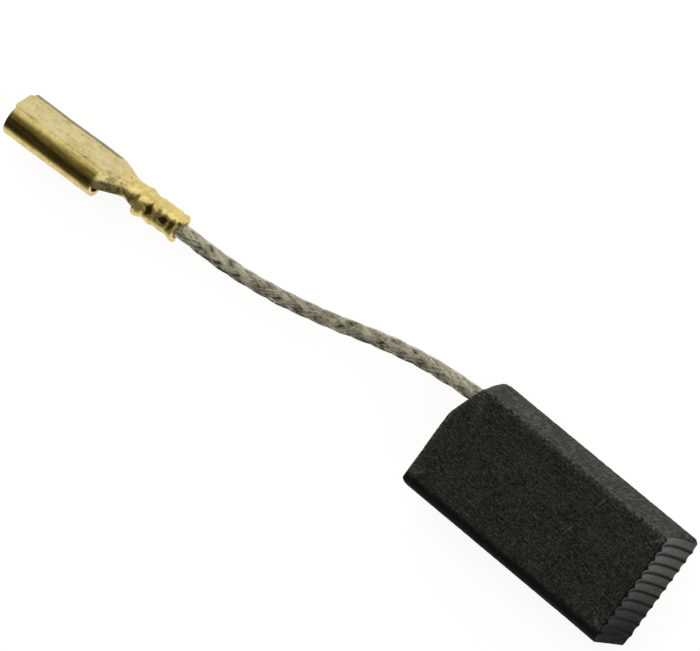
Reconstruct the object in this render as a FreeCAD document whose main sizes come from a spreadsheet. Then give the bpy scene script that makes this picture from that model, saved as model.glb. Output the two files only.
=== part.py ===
"""A carbon brush for a small motor: a pressed block with a braided lead and a push-on receptacle.

Millimetres. The block lies on one of its large faces. +X points to the fluted contact end, +Y to the side
that the lead leaves from, +Z is up, and the origin is at the middle of the block's bottom face.
"""

import FreeCAD, Part
import math
import os
import types

import Sketcher

Vector = FreeCAD.Vector

# Driving sizes: alias, number, what it is. Lengths in millimetres, angles in degrees.
SIZES = [
    ("block_length", 16.0, "carbon block, lead end to contact end"),
    ("block_width", 8.0, "carbon block, across the guide faces"),
    ("block_thickness", 5.0, "carbon block, between the large faces"),
    ("corner_radius", 0.45, "upright corners of the block"),
    ("long_edge_radius", 0.8, "rounded long edge on the side away from the lead"),
    ("bevel_start", 1.3, "where the lead end's bevel starts on the top face, from the middle"),
    ("bevel_foot", 3.9, "where it starts on the bottom face, which is almost the corner"),
    ("bevel_run", 0.95, "how far the bevel falls back at the top face's edge"),
    ("flute_count", 11, "flutes across the contact end"),
    ("flute_land", 0.5, "middle of the outer flute to the side of the block"),
    ("flute_depth", 0.11, "depth of a flute"),
    ("flute_ridge", 0.04, "flat ridge left between two flutes"),
    ("hole_diameter", 1.7, "blind hole that the lead is set in"),
    ("hole_depth", 4.5, "blind hole, from the lead end"),
    ("hole_offset", 2.6, "blind hole, from the middle of the width"),
    ("powder_floor", 0.4, "tamped powder under the end of the lead"),
    ("powder_rise", 0.1, "tamped powder proud of the lead end"),
    ("lead_diameter", 1.05, "braided lead"),
    ("crimp_mouth_x", -30.33, "wire end of the crimp, along the block"),
    ("crimp_mouth_y", -1.42, "wire end of the crimp, across the block"),
    ("terminal_yaw", 3.0, "receptacle's turn in plan"),
    ("terminal_roll", 31.5, "how far above the level its base plate faces"),
    ("sheet", 0.3, "thickness of the receptacle's sheet"),
    ("base_flat", 1.45, "flat of the base plate between its two bends"),
    ("roll_radius", 1.1, "outside radius of the two side rolls"),
    ("curl_radius", 0.45, "outside radius of the inward curl"),
    ("tab_gap", 0.55, "free edges above the base plate, for a 0.5 mm tab"),
    ("roll_length", 7.15, "length of the side rolls"),
    ("tongue_reach", 0.2, "base plate in front of the rolls"),
    ("tongue_half_width", 0.85, "half the width of that tongue"),
    ("tongue_corner", 0.3, "rounded corners of that tongue"),
    ("shoulder_wrap", 80.0, "how far the walls bend up where the rolls end"),
    ("neck_length", 2.85, "rolls to crimp"),
    ("neck_radius", 0.76, "outside bend radius at the neck"),
    ("neck_flat", 0.24, "flat of the neck's floor"),
    ("neck_wrap", 98.0, "how far the neck's walls bend up"),
    ("taper_share", 0.35, "how far along the neck its middle section is"),
    ("waist_share", 0.7, "how far along the neck its narrowest section is"),
    ("waist_rise", 0.08, "narrowest section's floor above the base plate"),
    ("crimp_length", 3.2, "crimp barrel"),
    ("crimp_rise", 0.1, "crimp's floor above the base plate"),
    ("crimp_grip", 0.06, "room round the lead under a pressed band"),
    ("crimp_swell", 0.07, "barrel between the bands, more than at a band"),
    ("crimp_bell", 0.1, "barrel's two mouths, more than at a band"),
    ("crimp_flat", 0.06, "flat of the barrel's floor"),
    ("crimp_wrap", 176.0, "how far the wings close"),
    ("crimp_bands", 3, "pressed bands on the barrel"),
    ("lead_overrun", 0.1, "lead past the barrel, inside the neck"),
    ("stub_width", 0.8, "carrier stub at the wire end, across"),
    ("stub_reach", 0.25, "carrier stub past the barrel"),
]

CUT_MARGIN = 1.0  # how far a cutting profile stands clear of what it cuts
BRIDGE = 0.15  # how far two forms of the same sheet run into each other
LEAD_PITCH_POINT = (-23.15, -0.94, 1.97)  # the lead's free point, between the block and the receptacle
FIRST_RUN = 7.5  # hole end to the lead's first free point
LAST_RUN = 3.6  # lead's last free point to its end in the crimp
ARC_SHARE = 0.45  # share of the shorter of two runs that the arc between them takes
VOLUME_SHARE = 0.01  # how far the lead's volume may be from a straight tube's


class Dim:
    """A size that knows its number and the expression that binds it to the sheet."""

    def __init__(self, number, text):
        self.number = float(number)
        self.text = text

    @staticmethod
    def of(other):
        if isinstance(other, Dim):
            return other
        return Dim(other, f"({other!r})")

    def __add__(self, other):
        other = Dim.of(other)
        return Dim(self.number + other.number, f"({self.text} + {other.text})")

    def __sub__(self, other):
        other = Dim.of(other)
        return Dim(self.number - other.number, f"({self.text} - {other.text})")

    def __mul__(self, other):
        other = Dim.of(other)
        return Dim(self.number * other.number, f"({self.text} * {other.text})")

    def __truediv__(self, other):
        other = Dim.of(other)
        return Dim(self.number / other.number, f"({self.text} / {other.text})")

    def __radd__(self, other):
        return Dim.of(other) + self

    def __rsub__(self, other):
        return Dim.of(other) - self

    def __rmul__(self, other):
        return Dim.of(other) * self

    def __neg__(self):
        return Dim(-self.number, f"(0 - {self.text})")


def sine(angle):
    return Dim(math.sin(math.radians(angle.number)), f"sin({angle.text} * 1 deg)")


def cosine(angle):
    return Dim(math.cos(math.radians(angle.number)), f"cos({angle.text} * 1 deg)")


def arctangent(ratio):
    """The angle of a slope, as a plain number of degrees."""
    return Dim(math.degrees(math.atan(ratio.number)), f"(atan({ratio.text}) / 1 deg)")


ZERO = Dim(0.0, "0")


def make_sheet(doc):
    """The spreadsheet of driving sizes, and the same sizes as Dims by name."""
    sheet = doc.addObject("Spreadsheet::Sheet", "Sizes")
    for row, (alias, number, meaning) in enumerate(SIZES, start=1):
        sheet.set(f"A{row}", meaning)
        sheet.set(f"B{row}", str(number))
        sheet.setAlias(f"B{row}", alias)
    doc.recompute()
    return types.SimpleNamespace(**{a: Dim(getattr(sheet, a), f"Sizes.{a}") for a, _, _ in SIZES})


def bind(feature, prop, size):
    feature.setExpression(prop, size.text)


def new_body(doc, name):
    body = doc.addObject("PartDesign::Body", name)
    body.Label = name
    return body


def datum(body, role):
    """One of the body's own origin planes or axes."""
    return next(f for f in body.Origin.OriginFeatures if f.Role == role)


def new_sketch(body, name, plane, height=None):
    """A sketch on an origin plane of its body, moved along the plane's normal by height."""
    sketch = body.newObject("Sketcher::SketchObject", name)
    sketch.AttachmentSupport = [(datum(body, plane), "")]
    sketch.MapMode = "FlatFace"
    if height is not None:
        bind(sketch, "AttachmentOffset.Base.z", height)
    return sketch


def pin_point(sketch, element, position, x, y):
    """Ties one point of a sketch to the sheet by its two coordinates."""
    for kind, size in (("DistanceX", x), ("DistanceY", y)):
        index = sketch.addConstraint(Sketcher.Constraint(kind, -1, 1, element, position, size.number))
        sketch.setExpression(f"Constraints[{index}]", size.text)


def draw_loop(sketch, corners, arcs=None):
    """A closed outline through the corners. arcs maps an edge's number to (centre x, centre y, turns left)."""
    arcs = arcs or {}
    first = sketch.GeometryCount
    starts = {}
    for number, (x, y) in enumerate(corners):
        following = corners[(number + 1) % len(corners)]
        start = Vector(x.number, y.number, 0)
        end = Vector(following[0].number, following[1].number, 0)
        if number in arcs:
            centre_x, centre_y, left = arcs[number]
            centre = Vector(centre_x.number, centre_y.number, 0)
            a, b = (start, end) if left else (end, start)
            turn = [math.atan2(p.y - centre.y, p.x - centre.x) for p in (a, b)]
            if turn[1] <= turn[0]:
                turn[1] += 2 * math.pi
            circle = Part.Circle(centre, Vector(0, 0, 1), (start - centre).Length)
            sketch.addGeometry(Part.ArcOfCircle(circle, *turn), False)
            starts[number] = (1, 2) if left else (2, 1)
        else:
            sketch.addGeometry(Part.LineSegment(start, end), False)
            starts[number] = (1, 2)
    for number in range(len(corners)):
        following = (number + 1) % len(corners)
        joint = (first + number, starts[number][1], first + following, starts[following][0])
        sketch.addConstraint(Sketcher.Constraint("Coincident", *joint))
    for number, (x, y) in enumerate(corners):
        pin_point(sketch, first + number, starts[number][0], x, y)
    for number, (centre_x, centre_y, _) in arcs.items():
        following = corners[(number + 1) % len(corners)]
        chord_x = abs(following[0].number - corners[number][0].number)
        chord_y = abs(following[1].number - corners[number][1].number)
        kind, size = ("DistanceX", centre_x) if chord_y >= chord_x else ("DistanceY", centre_y)
        index = sketch.addConstraint(Sketcher.Constraint(kind, -1, 1, first + number, 3, size.number))
        sketch.setExpression(f"Constraints[{index}]", size.text)


def draw_circle(sketch, x, y, radius):
    circle = Part.Circle(Vector(x.number, y.number, 0), Vector(0, 0, 1), radius.number)
    element = sketch.addGeometry(circle, False)
    pin_point(sketch, element, 3, x, y)
    index = sketch.addConstraint(Sketcher.Constraint("Radius", element, radius.number))
    sketch.setExpression(f"Constraints[{index}]", radius.text)


def pad(body, name, sketch, length, reverse=False):
    feature = body.newObject("PartDesign::Pad", name)
    feature.Profile = sketch
    feature.Reversed = reverse
    bind(feature, "Length", length)
    body.Document.recompute()
    return feature


def pocket(body, name, sketch):
    """Cuts through all, against the sketch's normal, and makes sure that it cut something."""
    before = body.Shape.Volume
    feature = body.newObject("PartDesign::Pocket", name)
    feature.Profile = sketch
    feature.Type = "ThroughAll"
    body.Document.recompute()
    if not feature.Shape.Volume < before:
        raise RuntimeError(f"{name} cuts nothing")
    return feature


def loft(body, name, sections):
    """A smooth skin over sections of the bent sheet, and makes sure that it added something."""
    before = body.Shape.Volume
    feature = body.newObject("PartDesign::AdditiveLoft", name)
    feature.Profile = sections[0]
    feature.Sections = sections[1:]
    body.Document.recompute()
    if not feature.Shape.Volume > before:
        raise RuntimeError(f"{name} adds nothing")
    return feature


def cut_bevel(body, s, proud):
    """Cuts the slanted bevel at the lead end, proud of the block's own by an amount along the block.

    The profile stands upright across the bevel, beyond the side of the block, and cuts back through it.
    """
    slope = s.bevel_run / (s.block_width / 2 - s.bevel_start)
    side = s.block_width / 2 + CUT_MARGIN
    turn = arctangent(slope)
    profile = new_sketch(body, f"{body.Label}_bevel_profile", "XZ_Plane")
    profile.AttachmentOffset = FreeCAD.Placement(Vector(), FreeCAD.Rotation(Vector(0, 1, 0), 180 - turn.number))
    bind(profile, "AttachmentOffset.Rotation.Angle", 180 - turn)
    bind(profile, "AttachmentOffset.Base.x", (side - s.bevel_start) * slope - s.block_length / 2 - proud)
    bind(profile, "AttachmentOffset.Base.z", -side)
    lean = (s.bevel_foot - s.bevel_start) * sine(turn) / s.block_thickness
    top = s.block_thickness + CUT_MARGIN
    foot = lean * top
    corners = [
        (-lean * CUT_MARGIN, top),
        (foot, ZERO - CUT_MARGIN),
        (foot + CUT_MARGIN, ZERO - CUT_MARGIN),
        (foot + CUT_MARGIN, top),
    ]
    draw_loop(profile, corners)
    pocket(body, f"{body.Label}_bevel", profile)


def make_block(doc, s):
    """The carbon block: plan outline, rounded long edge, bevel, flutes across the contact end, blind hole."""
    body = new_body(doc, "carbon_block")
    half_length = s.block_length / 2
    half_width = s.block_width / 2
    r = s.corner_radius
    plan = new_sketch(body, "block_plan", "XY_Plane")
    corners = [
        (-half_length + r, -half_width),
        (half_length - r, -half_width),
        (half_length, -half_width + r),
        (half_length, half_width - r),
        (half_length - r, half_width),
        (-half_length + r, half_width),
        (-half_length, half_width - r),
        (-half_length, -half_width + r),
    ]
    arcs = {
        1: (half_length - r, -half_width + r, True),
        3: (half_length - r, half_width - r, True),
        5: (-half_length + r, half_width - r, True),
        7: (-half_length + r, -half_width + r, True),
    }
    draw_loop(plan, corners, arcs)
    pad(body, "block_blank", plan, s.block_thickness)

    long_edge = new_sketch(body, "long_edge_profile", "YZ_Plane", half_length + CUT_MARGIN)
    r = s.long_edge_radius
    outside = -half_width - CUT_MARGIN
    above = s.block_thickness + CUT_MARGIN
    corners = [
        (outside, s.block_thickness - r),
        (-half_width, s.block_thickness - r),
        (-half_width + r, s.block_thickness),
        (-half_width + r, above),
        (outside, above),
    ]
    draw_loop(long_edge, corners, {1: (-half_width + r, s.block_thickness - r, False)})
    pocket(body, "rounded_long_edge", long_edge)
    cut_bevel(body, s, ZERO)

    pitch = (s.block_width - 2 * s.flute_land) / (s.flute_count - 1)
    half_chord = (pitch - s.flute_ridge) / 2
    radius = (half_chord * half_chord + s.flute_depth * s.flute_depth) / (2 * s.flute_depth)
    flute = new_sketch(body, "flute_profile", "XY_Plane", s.block_thickness)
    draw_circle(flute, half_length + radius - s.flute_depth, -half_width + s.flute_land, radius)
    first = pocket(body, "flute", flute)
    flutes = body.newObject("PartDesign::LinearPattern", "flutes")
    flutes.Originals = [first]
    flutes.Direction = (datum(body, "Y_Axis"), [""])
    bind(flutes, "Length", s.block_width - 2 * s.flute_land)
    bind(flutes, "Occurrences", s.flute_count)
    body.Tip = flutes
    doc.recompute()

    hole = new_sketch(body, "hole_profile", "YZ_Plane", -half_length + s.hole_depth)
    draw_circle(hole, s.hole_offset, s.block_thickness / 2, s.hole_diameter / 2)
    pocket(body, "lead_hole", hole)
    return body


def make_plug(doc, s):
    """The tamped powder: fills the hole round the lead and stands a little proud of the lead end."""
    body = new_body(doc, "tamping_plug")
    bottom = -s.block_length / 2 + s.hole_depth
    middle = s.block_thickness / 2
    disc = new_sketch(body, "powder_profile", "YZ_Plane", bottom)
    draw_circle(disc, s.hole_offset, middle, s.hole_diameter / 2)
    pad(body, "powder", disc, s.hole_depth + s.powder_rise, reverse=True)
    cut_bevel(body, s, s.powder_rise)

    bore = new_sketch(body, "lead_profile", "YZ_Plane", bottom - s.powder_floor)
    draw_circle(bore, s.hole_offset, middle, s.lead_diameter / 2)
    pocket(body, "lead_seat", bore)
    return body


def draw_trough(body, name, station, half_flat, radius, wrap, rise, sheet):
    """One section of the bent sheet: a flat floor with a wall of one radius bent up each side."""
    sketch = new_sketch(body, name, "YZ_Plane", station)
    middle = rise + radius
    inner = radius - sheet
    across = sine(wrap)
    up = cosine(wrap)
    right = [
        (half_flat, rise),
        (half_flat + radius * across, middle - radius * up),
        (half_flat + inner * across, middle - inner * up),
        (half_flat, rise + sheet),
    ]
    left = [(-x, y) for x, y in reversed(right)]
    arcs = {
        0: (half_flat, middle, True),
        2: (half_flat, middle, False),
        4: (-half_flat, middle, False),
        6: (-half_flat, middle, True),
    }
    draw_loop(sketch, right + left, arcs)
    return sketch


def draw_rolls(body, name, s, station):
    """The section of the receptacle: flat base, round sides, curled edges that face the base."""
    sketch = new_sketch(body, name, "YZ_Plane", station)
    flat = s.base_flat / 2
    roll = s.roll_radius
    curl = s.curl_radius
    top = 2 * roll
    inner_curl = curl - s.sheet
    edge = s.sheet + s.tab_gap
    bend = top - curl
    right = [
        (flat, ZERO),
        (flat, top),
        (flat - curl, bend),
        (flat - curl, edge),
        (flat - inner_curl, edge),
        (flat - inner_curl, bend),
        (flat, top - s.sheet),
        (flat, s.sheet),
    ]
    left = [(-x, y) for x, y in reversed(right)]
    count = len(right)
    arcs = {
        0: (flat, roll, True),
        1: (flat, bend, True),
        5: (flat, bend, False),
        6: (flat, roll, False),
        count + 0: (-flat, roll, False),
        count + 1: (-flat, bend, False),
        count + 5: (-flat, bend, True),
        count + 6: (-flat, roll, True),
    }
    draw_loop(sketch, right + left, arcs)
    return sketch


def crimp_stations(s):
    """Where the barrel's sections are and how much wider each is than a pressed band."""
    step = s.crimp_length / (2 * s.crimp_bands)
    start = s.tongue_reach + s.roll_length + s.neck_length
    count = 2 * int(s.crimp_bands.number)
    stations = []
    for number in range(count + 1):
        ends = number in (0, count)
        extra = s.crimp_bell if ends else (ZERO if number % 2 else s.crimp_swell)
        stations.append((start + step * number, extra))
    return stations


def make_receptacle(doc, s):
    """The stamped receptacle, modelled base down with its mouth at the origin, and then laid in place."""
    body = new_body(doc, "receptacle")
    rolls_end = s.tongue_reach + s.roll_length
    rolls = draw_rolls(body, "roll_section", s, s.tongue_reach)
    pad(body, "side_rolls", rolls, s.roll_length)

    tongue = new_sketch(body, "tongue_plan", "XY_Plane")
    half = s.tongue_half_width
    r = s.tongue_corner
    root = s.tongue_reach + BRIDGE
    corners = [
        (ZERO, half - r),
        (ZERO, -half + r),
        (r, -half),
        (root + r, -half),
        (root + r, half),
        (r, half),
    ]
    draw_loop(tongue, corners, {1: (r, -half + r, True), 5: (r, half - r, True)})
    pad(body, "base_tongue", tongue, s.sheet)

    band_radius = s.lead_diameter / 2 + s.crimp_grip + s.sheet
    neck = [
        draw_trough(body, "shoulder_section", rolls_end, s.base_flat / 2, s.roll_radius,
                    s.shoulder_wrap, ZERO, s.sheet),
        draw_trough(body, "taper_section", rolls_end + s.neck_length * s.taper_share,
                    (s.base_flat + s.neck_flat) / 4, (s.roll_radius + s.neck_radius) / 2,
                    (s.shoulder_wrap + s.neck_wrap) / 2, s.waist_rise / 4, s.sheet),
        draw_trough(body, "waist_section", rolls_end + s.neck_length * s.waist_share,
                    s.neck_flat / 2, s.neck_radius, s.neck_wrap, s.waist_rise, s.sheet),
    ]
    barrel = [
        draw_trough(body, f"barrel_section_{number}", station, s.crimp_flat / 2, band_radius + extra,
                    s.crimp_wrap, s.crimp_rise, s.sheet)
        for number, (station, extra) in enumerate(crimp_stations(s))
    ]
    doc.recompute()
    loft(body, "neck", neck + barrel[:1])
    loft(body, "crimp_barrel", barrel)

    stub = new_sketch(body, "stub_plan", "XY_Plane", s.crimp_rise)
    end = rolls_end + s.neck_length + s.crimp_length
    half = s.stub_width / 2
    corners = [
        (end - BRIDGE, -half),
        (end + s.stub_reach, -half),
        (end + s.stub_reach, half),
        (end - BRIDGE, half),
    ]
    draw_loop(stub, corners)
    pad(body, "carrier_stub", stub, s.sheet)
    body.Placement = terminal_placement(s)
    return body


def terminal_placement(s):
    """Lays the receptacle on the lower of its two rolls, with the crimp's wire end at its place."""
    tilt = math.radians(s.terminal_roll.number)
    height = s.roll_radius.number * (1 + math.sin(tilt)) + s.base_flat.number / 2 * math.cos(tilt)
    turn = FreeCAD.Rotation(Vector(0, 0, 1), s.terminal_yaw.number)
    turn = turn.multiply(FreeCAD.Rotation(Vector(1, 0, 0), 90 + s.terminal_roll.number))
    mouth = turn.multVec(crimp_axis_point(s, crimp_end_station(s)))
    base = Vector(s.crimp_mouth_x.number - mouth.x, s.crimp_mouth_y.number - mouth.y, height)
    return FreeCAD.Placement(base, turn)


def crimp_end_station(s):
    return (s.tongue_reach + s.roll_length + s.neck_length + s.crimp_length).number


def crimp_axis_point(s, station):
    """A point of the crimp's axis, in the receptacle's own frame."""
    rise = s.crimp_rise + s.sheet + s.crimp_grip + s.lead_diameter / 2
    return Vector(station, 0, rise.number)


def lead_route(s):
    """The lead's points, from its end in the block's hole to its end in the crimp."""
    place = terminal_placement(s)
    hole_end = (-s.block_length / 2 + s.hole_depth - s.powder_floor).number
    exit_y = s.hole_offset.number
    exit_z = s.block_thickness.number / 2
    crimp_start = crimp_end_station(s) - s.crimp_length.number
    end_station = crimp_start - s.lead_overrun.number
    end = place.multVec(crimp_axis_point(s, end_station))
    before = place.multVec(crimp_axis_point(s, end_station + LAST_RUN))
    return [
        Vector(hole_end, exit_y, exit_z),
        Vector(hole_end - FIRST_RUN, exit_y, exit_z),
        Vector(*LEAD_PITCH_POINT),
        before,
        end,
    ]


def rounded_path(points):
    """Straight runs joined by tangent arcs as large as the runs allow, with the arcs' radii."""
    edges = []
    radii = []
    at = points[0]
    for number in range(1, len(points) - 1):
        back = points[number - 1] - points[number]
        ahead = points[number + 1] - points[number]
        shorter = min(back.Length, ahead.Length)
        half_turn = (math.pi - back.getAngle(ahead)) / 2
        reach = ARC_SHARE * shorter
        radii.append(reach / math.tan(half_turn))
        start = points[number] + back.normalize() * reach
        end = points[number] + ahead.normalize() * reach
        inward = (back + ahead).normalize()
        off_corner = radii[-1] * (1 / math.cos(half_turn) - 1)
        edges.append(Part.LineSegment(at, start).toShape())
        edges.append(Part.Arc(start, points[number] + inward * off_corner, end).toShape())
        at = end
    edges.append(Part.LineSegment(at, points[-1]).toShape())
    return Part.Wire(edges), radii


def make_lead(doc, s):
    """The braided lead: a round tube along its route."""
    points = lead_route(s)
    path, radii = rounded_path(points)
    radius = s.lead_diameter.number / 2
    ring = Part.Wire([Part.Circle(points[0], points[1] - points[0], radius).toShape()])
    tube = path.makePipeShell([ring], True, True)
    expected = math.pi * radius**2 * path.Length
    if abs(tube.Volume - expected) > VOLUME_SHARE * expected:
        raise RuntimeError(f"the lead's volume is {tube.Volume:.3f} and should be {expected:.3f}")
    print("lead length", round(path.Length, 3), "radii", [round(r, 1) for r in radii])
    print("lead points", [tuple(round(v, 3) for v in p) for p in points])
    lead = doc.addObject("Part::Feature", "shunt_wire")
    lead.Label = "shunt_wire"
    lead.Shape = tube
    lead.Placement = FreeCAD.Placement()
    return lead


def check(doc, parts):
    """Stops if any object failed, or a piece isn't one valid solid."""
    for item in doc.Objects:
        if "Invalid" in item.State or "Error" in item.State:
            raise RuntimeError(f"{item.Label} is {item.State}")
    for piece in parts:
        shape = piece.Shape
        if shape.isNull() or not shape.isValid() or len(shape.Solids) != 1:
            raise RuntimeError(f"{piece.Label} isn't one valid solid")


def main():
    doc = FreeCAD.newDocument("CarbonBrush")
    s = make_sheet(doc)
    parts = [make_block(doc, s), make_plug(doc, s), make_lead(doc, s), make_receptacle(doc, s)]
    doc.recompute()
    check(doc, parts)
    os.makedirs("parts", exist_ok=True)
    for piece in parts:
        piece.Shape.exportStep(f"parts/{piece.Label}.step")
        box = piece.Shape.BoundBox
        print(piece.Label, "volume", round(piece.Shape.Volume, 3), "box",
              [round(v, 3) for v in (box.XMin, box.YMin, box.ZMin, box.XMax, box.YMax, box.ZMax)])


main()
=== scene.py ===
"""Finishes for a carbon brush: pressed graphite block, braided lead and brass push-on receptacle.

Metres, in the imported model's own frame. The block lies on a large face, its fluted contact end is at +X, and
the lead leaves its other end near the +Y side. Sizes below are in millimetres, and new_piece turns them to
metres. The materials, the camera and the stage are in metres, and a noise's scale is its waves in a metre.
"""

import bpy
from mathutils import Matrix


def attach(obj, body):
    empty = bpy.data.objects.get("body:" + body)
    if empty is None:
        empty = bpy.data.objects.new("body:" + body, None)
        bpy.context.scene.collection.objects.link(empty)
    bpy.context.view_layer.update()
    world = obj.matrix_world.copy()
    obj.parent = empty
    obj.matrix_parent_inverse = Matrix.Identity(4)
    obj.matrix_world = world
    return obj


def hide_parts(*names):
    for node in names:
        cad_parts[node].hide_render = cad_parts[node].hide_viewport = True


bl_info = {
    "name": "Carbon brush finishes",
    "version": (1, 0, 0),
    "blender": (4, 5, 0),
    "location": "3D View > Sidebar > Brush",
    "description": "Graphite block, braided lead and brass receptacle for a motor brush",
    "category": "Object",
}

import math

import bmesh
import bpy
import numpy as np
from bpy.props import FloatProperty, FloatVectorProperty, IntProperty, PointerProperty
from mathutils import Matrix

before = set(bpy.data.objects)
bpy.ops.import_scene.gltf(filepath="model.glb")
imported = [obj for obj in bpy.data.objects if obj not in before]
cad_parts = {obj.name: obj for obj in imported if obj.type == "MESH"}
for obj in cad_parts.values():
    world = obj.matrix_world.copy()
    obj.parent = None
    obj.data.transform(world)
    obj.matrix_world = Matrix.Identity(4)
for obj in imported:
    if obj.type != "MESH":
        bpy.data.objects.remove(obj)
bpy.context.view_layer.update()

MM = 0.001
WHITE = (1.0, 1.0, 1.0)

# The block: size, edges, upright corners and the slanted bevel of its lead end.
BLOCK_LENGTH = 16.0
BLOCK_WIDTH = 8.0
BLOCK_THICKNESS = 5.0
LONG_EDGE_RADIUS = 0.8
END_EDGE_RADIUS = 0.13
CORNER_RADIUS = 0.45
CORNER_SHRINK = 0.4
LEAD_CORNER_RADIUS = 0.75
BEVEL_START = 1.3
BEVEL_FOOT = 3.9
BEVEL_RUN = 0.95
BEVEL_SOFTNESS = 0.1
BEVEL_REACH = 3.0

# The block's contact end: its hollow, its flutes and the flare of its lowest -Y corner.
HOLLOW_RADIUS = 5.0
HOLLOW_REACH = 4.0
TOP_LIP = 0.07
FOOT_LIP = 0.39
PLAIN_LAND_END = -3.45
FLUTES = 11
FLUTE_LAND = 0.5
FLUTE_RIDGE = 0.04
FLUTE_REACH = 1.2
FLUTE_FOOT_SHARE = 0.47
CORNER_FLARE = 0.2
FLARE_REACH = 2.5
FLARE_FROM_Y = -2.5

# The chips of worn places: share of the chipping, the noise's size and seed, and the least of it that counts.
CHIPS = ((1.0, 0.5, 3, 0.55), (0.5, 0.22, 4, 0.4))
# The stain of powder: its middle and its reach. The dust's line on the +Y side: height, fall and wave.
TINT_AT = (-7.5, 3.0, 4.6)
TINT_REACH = (0.55, 0.5, 1.2)
DUST_LINE = 4.95
DUST_FALL = 0.45
DUST_WAVE = 0.12

# Points on each stretch of the block's outline: contact end, corner, +Y side and so on round.
OUTLINE_COUNTS = (236, 10, 150, 14, 100, 10, 150, 14)
# Where the block's rings are, as shares of the way across the bottom, up the sides and across the top.
BOTTOM_SHARES = (1.0, 0.8, 0.55, 0.3, 0.14, 0.05, 0.02)
SIDE_SHARES = (
    0.02, 0.05, 0.12, 0.24, 0.36, 0.48, 0.6, 0.72, 0.8, 0.86, 0.9, 0.92, 0.94, 0.95, 0.96, 0.97, 0.98, 0.99,
)
TOP_SHARES = (0.02, 0.045, 0.09, 0.15, 0.25, 0.4, 0.55, 0.7, 0.85, 1.0)
BOTTOM_EDGE_RINGS = 5
TOP_EDGE_RINGS = 9

# The scratch across the block's top: its two ends, and in metres where it fades out sideways and downwards.
SCRATCH = ((1.62, -2.74), (3.2, 3.11))
SCRATCH_SIDES = (0.00002, 0.00008)
SCRATCH_HEIGHT = (0.0048, 0.00495)

# The hole and its tamped powder, which stands out a little, is rough, and sinks away from its rim outwards.
HOLE_AT = (2.6, 2.5)
HOLE_RADIUS = 0.85
POWDER_RISE = 0.06
POWDER_ROUGHNESS = 0.035
POWDER_RIM = 0.72
POWDER_SINK = 0.2
POWDER_BACK = -7.2
POWDER_RINGS = 16
POWDER_SIDES = 72

# The lead's control points, from its end in the block to its end in the crimp.
LEAD_POINTS = (
    (-3.9, 2.6, 2.5),
    (-9.91, 3.25, 2.5),
    (-22.93, -1.09, 2.0),
    (-32.34, -1.44, 1.778),
    (-33.625, -1.593, 1.778),
)
LEAD_DIAMETER = 1.05

# The braid: step along a wire, its sides, a bundle's rise, crown and share of its room, and uneven wires.
WIRE_STEP = 0.17
WIRE_SIDES = 5
BUNDLE_RISE = 0.034
BUNDLE_CROWN = 0.03
BUNDLE_FILL = 0.97
WIRE_UNEVENNESS = 0.006
# Slow waves along the lead: their height, and the least and the most millimetres to a radian of them.
BUNDLE_SWAY = (0.07, 1.6, 3.2)
BUNDLE_SWELL = (0.01, 0.8, 1.9)
WIRE_SWAY = (0.012, 0.5, 1.4)
LAST_PHASE = 6.28
# The core inside: step along it, its sides, and how far it stays below the braid's outside.
CORE_STEP = 0.35
CORE_SIDES = 14
CORE_INSET = 0.17

# Where the receptacle lies: its mouth's place and its two turns, in degrees.
TERMINAL_ORIGIN = (-43.7556, -1.2826, 2.2929)
TERMINAL_YAW = 3.0
TERMINAL_ROLL = 31.5
NECK_BEND = 0.14

# The receptacle's sheet: thickness, softened edge, and where its stretches begin and end along it.
SHEET = 0.3
SHEET_EDGE = 0.035
SHEET_UV_SIZE = 10
ROLLS_FROM = 0.2
ROLLS_TO = 7.35
BARREL_FROM = 10.2
BARREL_TO = 13.4
TERMINAL_END = BARREL_TO + 0.25
SLACK = 1e-6
NECK_AT = (ROLLS_TO, 8.3475, 9.345, BARREL_FROM)
# Each stretch of rows: start, end and count.
ROW_STRETCHES = (
    (0.0, ROLLS_FROM, 4),
    (ROLLS_FROM, ROLLS_TO, 62),
    (ROLLS_TO, BARREL_FROM, 44),
    (BARREL_FROM, BARREL_TO, 76),
    (BARREL_TO, TERMINAL_END, 4),
)

# The receptacle's cross-section: half the flat plate, the bends, and the angles of shoulder and wing.
PLATE_HALF = 0.725
ROLL_RADIUS = 0.95
CURL_RADIUS = 0.3
CURL_EDGE = 0.9
SHOULDER_TURN = math.radians(80)
WING_TURN = math.radians(171)
SHOULDER = PLATE_HALF + ROLL_RADIUS * SHOULDER_TURN
TONGUE_HALF_WIDTH = 0.85
TONGUE_ROUNDING = 0.2
# The neck at its four places: half the flat middle, the bend's radius and the rise. Then the barrel's radius
# at even places along it, and half the inner strip of the blank, from the rolls to the barrel's end.
NECK_FLAT = (PLATE_HALF, 0.43, 0.12, 0.03)
NECK_RADIUS = (ROLL_RADIUS, 0.78, 0.62, 0.82)
NECK_RISE = (0.0, 0.02, 0.08, 0.1)
BARREL_RADIUS = (0.82, 0.755, 0.785, 0.75, 0.775, 0.76, 0.84)
INNER_AT = (ROLLS_TO, 8.35, 9.345, BARREL_FROM, 11.0, BARREL_TO)
INNER_HALF = (SHOULDER, 1.62, 1.18, 1.3, 0.9, 0.4)
# Points across the tongue, from it to a shoulder, and from a shoulder to the blank's edge.
TONGUE_COLUMNS = 23
SHOULDER_COLUMNS = 16
WING_COLUMNS = 35
# Ripples of the whole sheet and of its worked part, and how uneven the dents are.
SHEET_RIPPLE = 0.006
WORKED_RIPPLE = 0.013
DENT_UNEVENNESS = 0.35
# Each dent of the crimp: place along the barrel, share of the full depth, and width along the barrel.
DENTS = ((1.1, 1.0, 0.36), (1.72, 0.5, 0.22), (2.25, 1.0, 0.34), (2.88, 0.95, 0.27))
DENT_ACROSS = 0.9
DENT_SPREAD = 0.36
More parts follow.
